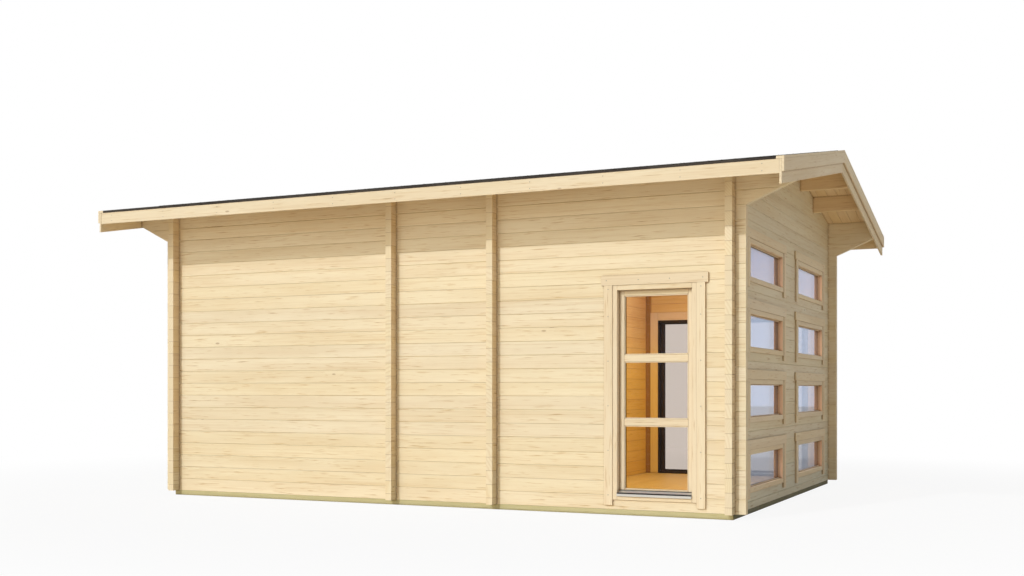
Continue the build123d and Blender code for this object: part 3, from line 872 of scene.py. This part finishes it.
# Screws in the casings: heights up the tall window and the door, and offsets from a window's middle
TALL_SIDE_SCREWS = 0.16, 0.52, 0.88, 1.24, 1.60, 1.82
TALL_HEAD_SCREWS = -0.40, -0.13, 0.13, 0.40
SMALL_SIDE_SCREWS = -0.15, 0.15
SMALL_HEAD_SCREWS = -0.62, 0.0, 0.62
DOOR_SCREWS = 0.20, 0.62, 1.04, 1.46, 1.84


def casing_screws():
    places = []
    face = reach_of("tall_window_casing", 1)[0]
    aside = (window_width + CASING_SIDE) / 2
    for z in TALL_SIDE_SCREWS:
        places += [((window_x + side * aside, face, z), -Y) for side in (-1, 1)]
    places += [((window_x + x, face, window_head + CASING_HEAD / 2), -Y) for x in TALL_HEAD_SCREWS]
    aside, above = (SMALL_WIDTH + CASING_SIDE) / 2, (SMALL_HEIGHT + CASING_HEAD) / 2
    for y, z in small_centres:
        for side in (-1, 1):
            places += [((casing_x[1], y + side * aside, z + rise), X) for rise in SMALL_SIDE_SCREWS]
        places += [((casing_x[1], y + along, z + above), X) for along in SMALL_HEAD_SCREWS]
    outside, inside = reach_of("door_outer_casing", 1)[1], reach_of("door_inner_casing", 1)[0]
    aside = (door_right - door_left + door_casing_face) / 2
    for z in DOOR_SCREWS:
        for side in (-1, 1):
            places += [((door_x + side * aside, y, z), out) for y, out in ((outside, Y), (inside, -Y))]
    heads("casing_screws", places, radius=0.0038, height=0.001)


casing_screws()

# Nails in the fascias and barge trims
FASCIA_NAILS, FASCIA_NAIL_END = 11, 3.05
FASCIA_NAIL_DROPS = 0.026, 0.078
BARGE_NAILS, BARGE_NAIL_SPAN = 7, (0.12, 2.40)
BARGE_NAIL_DROP = 0.046
EDGE_NAIL_HEIGHT = 0.0008


def roof_edge_nails():
    places = []
    barge_x = reach_of("front_barge_trims", 0)[1] - EDGE_NAIL_HEIGHT
    for side in (-1, 1):
        for x in spaced(-FASCIA_NAIL_END, FASCIA_NAIL_END, FASCIA_NAILS):
            places += [((x, side * EAVE_Y, EAVE_Z - drop), Y * side) for drop in FASCIA_NAIL_DROPS]
        for end in (-1, 1):
            for y in spaced(*BARGE_NAIL_SPAN, BARGE_NAILS):
                places.append(((end * barge_x, side * y, underside(y) - BARGE_NAIL_DROP), X * end))
    heads("roof_edge_nails", places, radius=0.0034, height=EDGE_NAIL_HEIGHT)


roof_edge_nails()


# Floor, light and camera
FLOOR_REACH = 60
PAPER_FADE = 4.0, 9.0


def seen(tree, mirrored=1.0):
    """1 for what is looked at straight or through a pane, and mirrored for what shows in a reflection."""
    path = put(tree, "ShaderNodeLightPath").outputs
    sight = calc(tree, "MAXIMUM", path["Is Camera Ray"], path["Is Transmission Ray"])
    return calc(tree, "MAXIMUM", sight, calc(tree, "MULTIPLY", path["Is Glossy Ray"], mirrored))


def studio_floor():
    """Pale floor that keeps the shadow, nearly white to the eye and warm in the light it throws back."""
    verts = [(x, y, 0.0) for x in (-FLOOR_REACH, FLOOR_REACH) for y in (-FLOOR_REACH, FLOOR_REACH)]
    obj = new_mesh("studio_floor", verts, [(0, 2, 3, 1)])
    material, tree = fresh("studio_floor")
    place = here(tree)
    sight = seen(tree, mirrored=0.3)
    pale = mixed(tree, noise(tree, place, 0.8, 2.0), (0.84, 0.84, 0.84, 1), (0.86, 0.86, 0.86, 1))
    tone = mixed(tree, sight, (0.94, 0.84, 0.67, 1), pale)
    matt = put(tree, "ShaderNodeBsdfDiffuse", {"Color": tone})
    white = put(tree, "ShaderNodeEmission", {"Strength": 1.0})
    paper = remap(tree, vector(tree, "LENGTH", place), *PAPER_FADE, 0.9, 1.0)
    share = calc(tree, "MULTIPLY", sight, paper)
    both = put(tree, "ShaderNodeMixShader", {0: share, 1: matt.outputs[0], 2: white.outputs[0]})
    put(tree, "ShaderNodeOutputMaterial", {"Surface": both.outputs[0]})
    obj.data.materials.append(material)


def studio_world():
    """Soft light all round, on a background that shows as white."""
    world = bpy.data.worlds.new("studio")
    bpy.context.scene.world = world
    world.use_nodes = True
    tree = world.node_tree
    tree.nodes.clear()
    soft = put(tree, "ShaderNodeBackground", {"Color": (0.98, 0.985, 1.0, 1.0), "Strength": 0.3})
    white = put(tree, "ShaderNodeBackground", {"Color": (1.0, 1.0, 1.0, 1.0), "Strength": 1.0})
    sky = put(tree, "ShaderNodeMixShader", {0: seen(tree), 1: soft.outputs[0], 2: white.outputs[0]})
    put(tree, "ShaderNodeOutputWorld", {"Surface": sky.outputs[0]})


def lamp(name, kind, energy, tint, direction, place=(0, 0, 0)):
    light = bpy.data.lights.new(name, kind)
    light.energy, light.color = energy, tint
    obj = bpy.data.objects.new(name, light)
    obj.location = place
    obj.rotation_euler = Vector(direction).to_track_quat("-Z", "Y").to_euler()
    obj.visible_camera = obj.visible_glossy = False
    bpy.context.scene.collection.objects.link(obj)
    return light


def sun(name, energy, tint, direction, spread):
    lamp(name, "SUN", energy, tint, direction).angle = math.radians(spread)


def lamps():
    sun("key", energy=1.5, tint=(0.93, 0.965, 1.0), direction=(0.37, 1.0, -0.657), spread=3)
    sun("fill", energy=1.35, tint=(1.0, 0.94, 0.78), direction=(0.45, 1.0, -0.1), spread=50)
    sun("far_side", energy=0.7, tint=(1.0, 0.98, 0.94), direction=(0.0, -1.0, -0.35), spread=40)
    room = lamp("room", "AREA", energy=60.0, tint=(1.0, 0.95, 0.88), direction=-Z, place=(1.67, 0.0, 2.45))
    room.shape, room.size, room.size_y = "RECTANGLE", 1.2, 2.4


def photo_camera():
    """The photo's camera, solved from the wall lines."""
    lens = bpy.data.cameras.new("camera")
    lens.sensor_width, lens.lens, lens.shift_y = 36.0, 42.324, 0.0991
    camera = bpy.data.objects.new("camera", lens)
    camera.location = (5.0619, -11.1672, 1.0115)
    camera.rotation_euler = (math.radians(90), 0, math.radians(24.8577))
    bpy.context.scene.collection.objects.link(camera)
    bpy.context.scene.camera = camera


studio_floor()
studio_world()
lamps()
photo_camera()
bpy.context.scene.view_settings.view_transform = "Standard"
